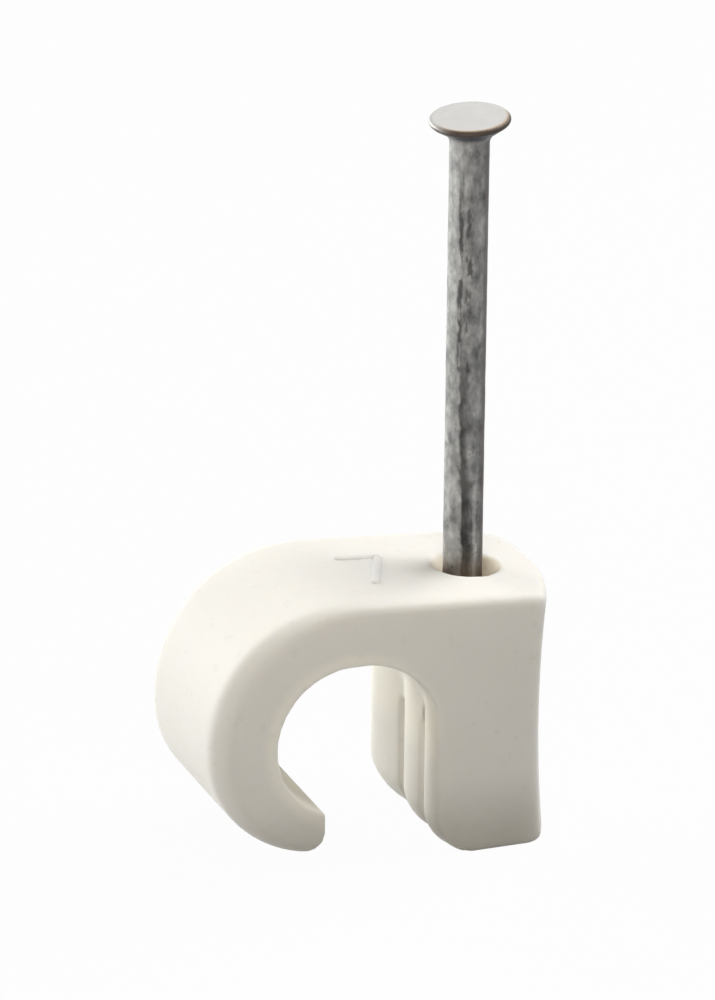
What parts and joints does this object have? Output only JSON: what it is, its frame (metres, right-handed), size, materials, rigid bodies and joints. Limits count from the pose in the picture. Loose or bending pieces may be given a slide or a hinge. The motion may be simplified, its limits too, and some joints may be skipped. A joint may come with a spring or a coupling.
{
  "type": "nail-in cable clip",
  "caption": "Moulded hook-shaped cable clip with a ribbed leg and a steel nail started in its hole, for fixing a round cable to a wall.",
  "frame": {"origin": "on the nail's axis, in the wall plane that the leg's foot stands on", "axes": "+Z out of the wall along the nail, +Y along the cable towards the back, hook towards -X"},
  "size_m": [0.017, 0.0088, 0.0336],
  "materials": {
    "white_plastic": "smooth moulded",
    "nail_steel": "drawn, hardened"
  },
  "bodies": {
    "root": {"clip_body": "white_plastic", "nail": "nail_steel"}
  },
  "joints": []
}
